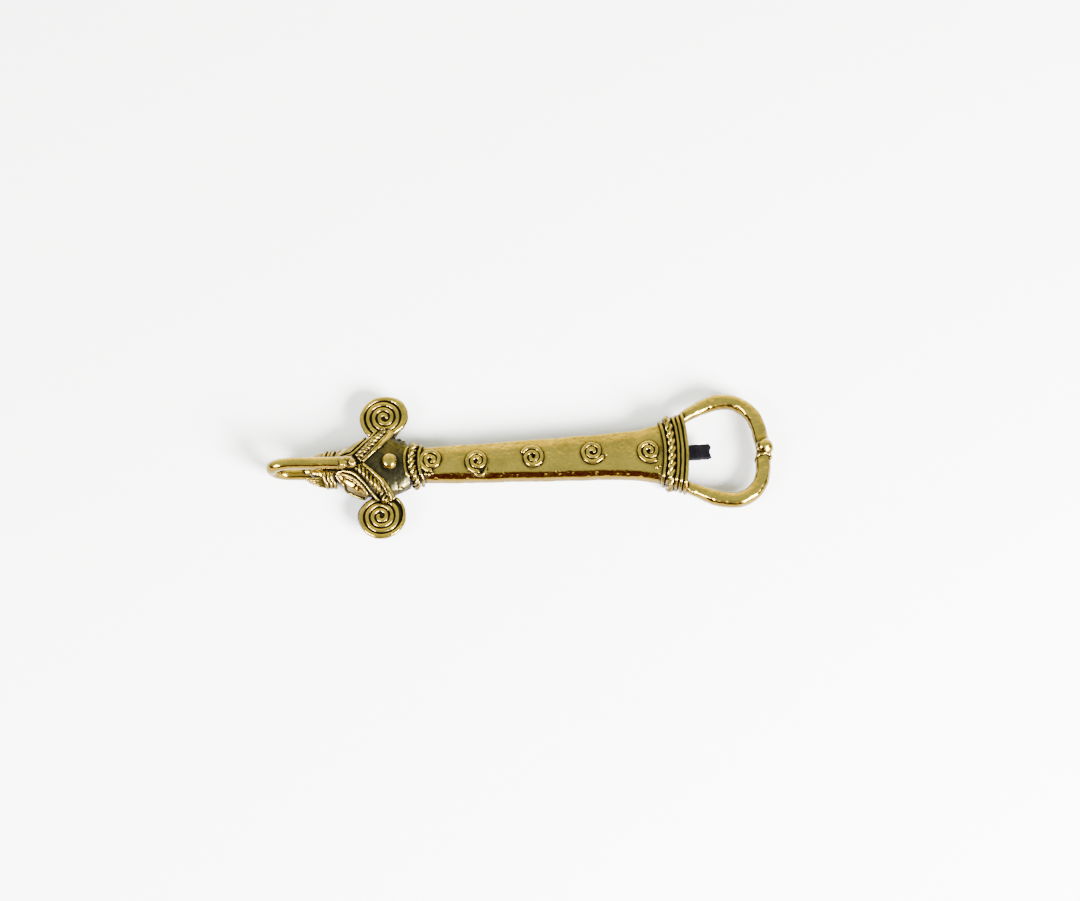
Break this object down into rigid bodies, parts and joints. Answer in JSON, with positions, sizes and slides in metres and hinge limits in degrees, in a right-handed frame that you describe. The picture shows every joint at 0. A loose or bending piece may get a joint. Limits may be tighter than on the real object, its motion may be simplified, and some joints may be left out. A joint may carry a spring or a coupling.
{
  "type": "bottle opener",
  "caption": "Cast brass hand-held bottle opener: elephant's head, scrolled handle, and a ring with an iron tongue that lifts a crown cap.",
  "frame": {"origin": "middle of the bounding box, on the plane the opener lies on", "axes": "+X along the handle towards the opener ring, +Z out of the face, +Y towards the elephant's right ear"},
  "size_m": [0.1599, 0.0498, 0.0124],
  "materials": {
    "brass": "antique, rubbed bright",
    "old_brass": "antique, dark",
    "iron": "black scale"
  },
  "bodies": {
    "root": {"handle_bar": "brass", "cap_tongue": "iron", "opener_ring": "brass", "ring_knob": "brass", "ring_knob_tie": "brass", "handle_scroll_1": "brass", "handle_scroll_2": "brass", "handle_scroll_3": "brass", "handle_scroll_4": "brass", "handle_scroll_5": "brass", "neck_wire_front": "brass", "neck_rope": "brass", "neck_wire_back": "brass", "collar_wire_1": "brass", "collar_rope": "brass", "collar_wire_2": "brass", "collar_wire_3": "brass", "collar_wire_4": "brass", "head_dome": "old_brass", "forehead_bead": "brass", "trunk": "brass", "trunk_bead_large": "brass", "trunk_bead_small": "brass", "jaw": "brass", "jaw_band_wire_1": "brass", "jaw_band_wire_2": "brass", "jaw_band_wire_3": "brass", "tusk_left": "brass", "tusk_right": "brass", "ear_plate_left": "old_brass", "ear_plate_right": "old_brass", "ear_coil_left": "brass", "ear_coil_right": "brass", "eye_left": "brass", "eye_right": "brass", "eye_rim_left": "brass", "eye_rim_right": "brass", "brow_rope_left": "brass", "brow_rope_right": "brass", "brow_wire_front_left": "brass", "brow_wire_front_right": "brass", "brow_wire_middle_left": "brass", "brow_wire_middle_right": "brass", "brow_wire_back_left": "brass", "brow_wire_back_right": "brass"}
  },
  "joints": []
}
